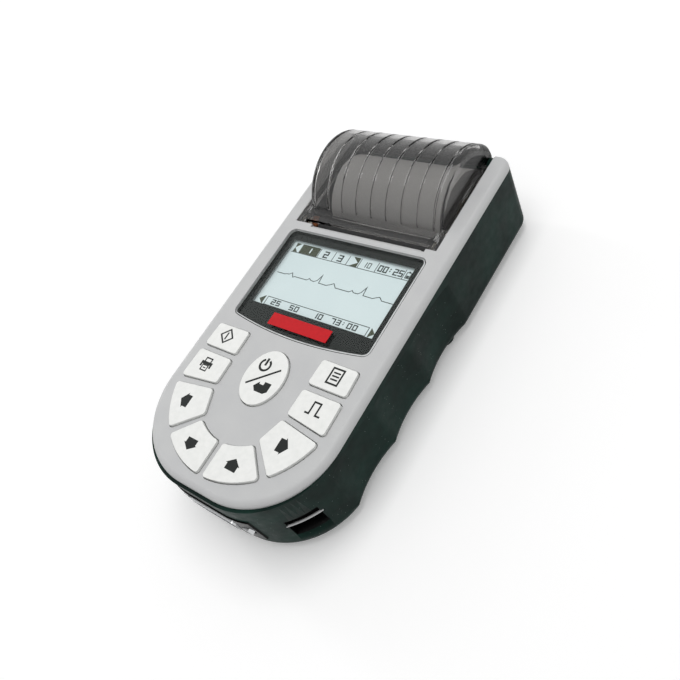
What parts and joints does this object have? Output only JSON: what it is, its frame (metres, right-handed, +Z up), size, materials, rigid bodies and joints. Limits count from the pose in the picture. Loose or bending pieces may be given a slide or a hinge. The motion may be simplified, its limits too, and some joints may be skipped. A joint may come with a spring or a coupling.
{
  "type": "handheld ecg home monitor with strip printer",
  "caption": "Hand-held heart monitor with a screen, soft-press keys, finger grips, a lead socket and a thermal strip printer under a clear hinged dome.",
  "frame": {"origin": "middle of the flat back that it lies on", "axes": "+X to the right across the keys, +Y along the body to the printer end, +Z up out of the key face"},
  "size_m": [0.088, 0.175, 0.0528],
  "materials": {
    "light_plastic": "fine matt texture",
    "dark_plastic": "satin with fine pale specks",
    "steel": "plain",
    "window_clear": "polished acrylic",
    "mask_ink": "print behind the window",
    "badge_red": "glossy label",
    "lcd": "pale blue-grey screen",
    "board": "solder mask",
    "black_plastic": "satin",
    "mat_rubber": "matt silicone",
    "key_white": "matt",
    "ceramic_head": "polished",
    "sink_aluminium": "anodised",
    "motor_steel": "zinc plated",
    "brass_gear": "machined",
    "nylon": "natural",
    "black_rubber": "ground",
    "brown_plastic": "moulded",
    "paper": "thermal paper",
    "card": "plain",
    "smoked": "clear smoked plastic, polished",
    "cell_sleeve": "shrink sleeve",
    "nickel": "nickel plated"
  },
  "bodies": {
    "housing": {"top_cover": "light_plastic", "lower_case": "dark_plastic", "battery_lid": "dark_plastic", "case_screws": "steel", "lid_screws": "steel", "window": "window_clear", "window_mask": "mask_ink", "badge_plate": "badge_red", "lcd_glass": "lcd", "lcd_light_guide": "lcd", "lcd_frame": "steel", "main_board": "board", "key_board": "board", "board_header": "black_plastic", "board_chips": "black_plastic", "key_domes": "steel", "key_mat": "mat_rubber", "printer_frame": "steel", "frame_screws": "steel", "print_head": "ceramic_head", "head_heat_sink": "sink_aluminium", "head_spring": "steel", "stepper_motor": "motor_steel", "gear_stub": "steel", "paper_well": "black_plastic", "paper_strip": "paper", "tear_bar": "steel", "hinge_pins": "steel", "battery_cells": "cell_sleeve", "battery_tabs": "nickel", "socket_bezel": "black_plastic", "socket_shell": "nickel", "socket_insert": "black_plastic", "socket_nuts": "nickel", "dc_jack": "black_plastic", "dc_jack_pin": "nickel", "strap_bar": "light_plastic"},
    "door": {"printer_door": "smoked", "platen_bushes": "nylon"},
    "platen": {"platen_shaft": "steel", "platen_rubber": "black_rubber", "platen_gear": "brown_plastic"},
    "middle_gear": {"middle_gear": "nylon"},
    "motor_rotor": {"motor_gear": "brass_gear", "motor_shaft": "steel"},
    "paper_roll": {"paper_roll": "paper", "paper_core": "card"},
    "key_power": {"key_power": "key_white"},
    "key_lead": {"key_lead": "key_white"},
    "key_menu": {"key_menu": "key_white"},
    "key_print": {"key_print": "key_white"},
    "key_pulse": {"key_pulse": "key_white"},
    "key_left": {"key_left": "key_white"},
    "key_right": {"key_right": "key_white"},
    "key_down": {"key_down": "key_white"},
    "key_up": {"key_up": "key_white"}
  },
  "joints": [
    {"name": "door_hinge", "type": "hinge", "parent": "housing", "child": "door", "pos_m": [0, 0.0842, 0.034], "axis": [-1, 0, 0], "range_deg": [0, 95]},
    {"name": "platen_spin", "type": "hinge", "parent": "door", "child": "platen", "pos_m": [0, 0.0403, 0.0306], "axis": [1, 0, 0], "continuous": true},
    {"name": "middle_gear_spin", "type": "hinge", "parent": "housing", "child": "middle_gear", "pos_m": [0, 0.0403, 0.01985], "axis": [1, 0, 0], "continuous": true},
    {"name": "motor_spin", "type": "hinge", "parent": "housing", "child": "motor_rotor", "pos_m": [0, 0.03465, 0.0116], "axis": [1, 0, 0], "continuous": true},
    {"name": "paper_roll_spin", "type": "hinge", "parent": "housing", "child": "paper_roll", "pos_m": [0, 0.065, 0.0238], "axis": [1, 0, 0], "continuous": true},
    {"name": "key_power_press", "type": "slide", "parent": "housing", "child": "key_power", "axis": [0, 0, -1], "range_m": [0, 0.0008], "stiffness_N_per_m": 1500, "springref_m": -0.0004},
    {"name": "key_lead_press", "type": "slide", "parent": "housing", "child": "key_lead", "axis": [0, 0, -1], "range_m": [0, 0.0008], "stiffness_N_per_m": 1500, "springref_m": -0.0004},
    {"name": "key_menu_press", "type": "slide", "parent": "housing", "child": "key_menu", "axis": [0, 0, -1], "range_m": [0, 0.0008], "stiffness_N_per_m": 1500, "springref_m": -0.0004},
    {"name": "key_print_press", "type": "slide", "parent": "housing", "child": "key_print", "axis": [0, 0, -1], "range_m": [0, 0.0008], "stiffness_N_per_m": 1500, "springref_m": -0.0004},
    {"name": "key_pulse_press", "type": "slide", "parent": "housing", "child": "key_pulse", "axis": [0, 0, -1], "range_m": [0, 0.0008], "stiffness_N_per_m": 1500, "springref_m": -0.0004},
    {"name": "key_left_press", "type": "slide", "parent": "housing", "child": "key_left", "axis": [0, 0, -1], "range_m": [0, 0.0008], "stiffness_N_per_m": 1500, "springref_m": -0.0004},
    {"name": "key_right_press", "type": "slide", "parent": "housing", "child": "key_right", "axis": [0, 0, -1], "range_m": [0, 0.0008], "stiffness_N_per_m": 1500, "springref_m": -0.0004},
    {"name": "key_down_press", "type": "slide", "parent": "housing", "child": "key_down", "axis": [0, 0, -1], "range_m": [0, 0.0008], "stiffness_N_per_m": 1500, "springref_m": -0.0004},
    {"name": "key_up_press", "type": "slide", "parent": "housing", "child": "key_up", "axis": [0, 0, -1], "range_m": [0, 0.0008], "stiffness_N_per_m": 1500, "springref_m": -0.0004}
  ],
  "couplings": [
    {"joint": "middle_gear_spin", "follows": "platen_spin", "ratio": -0.53571},
    {"joint": "motor_spin", "follows": "platen_spin", "ratio": 1.25},
    {"joint": "paper_roll_spin", "follows": "platen_spin", "ratio": 0.28947}
  ]
}
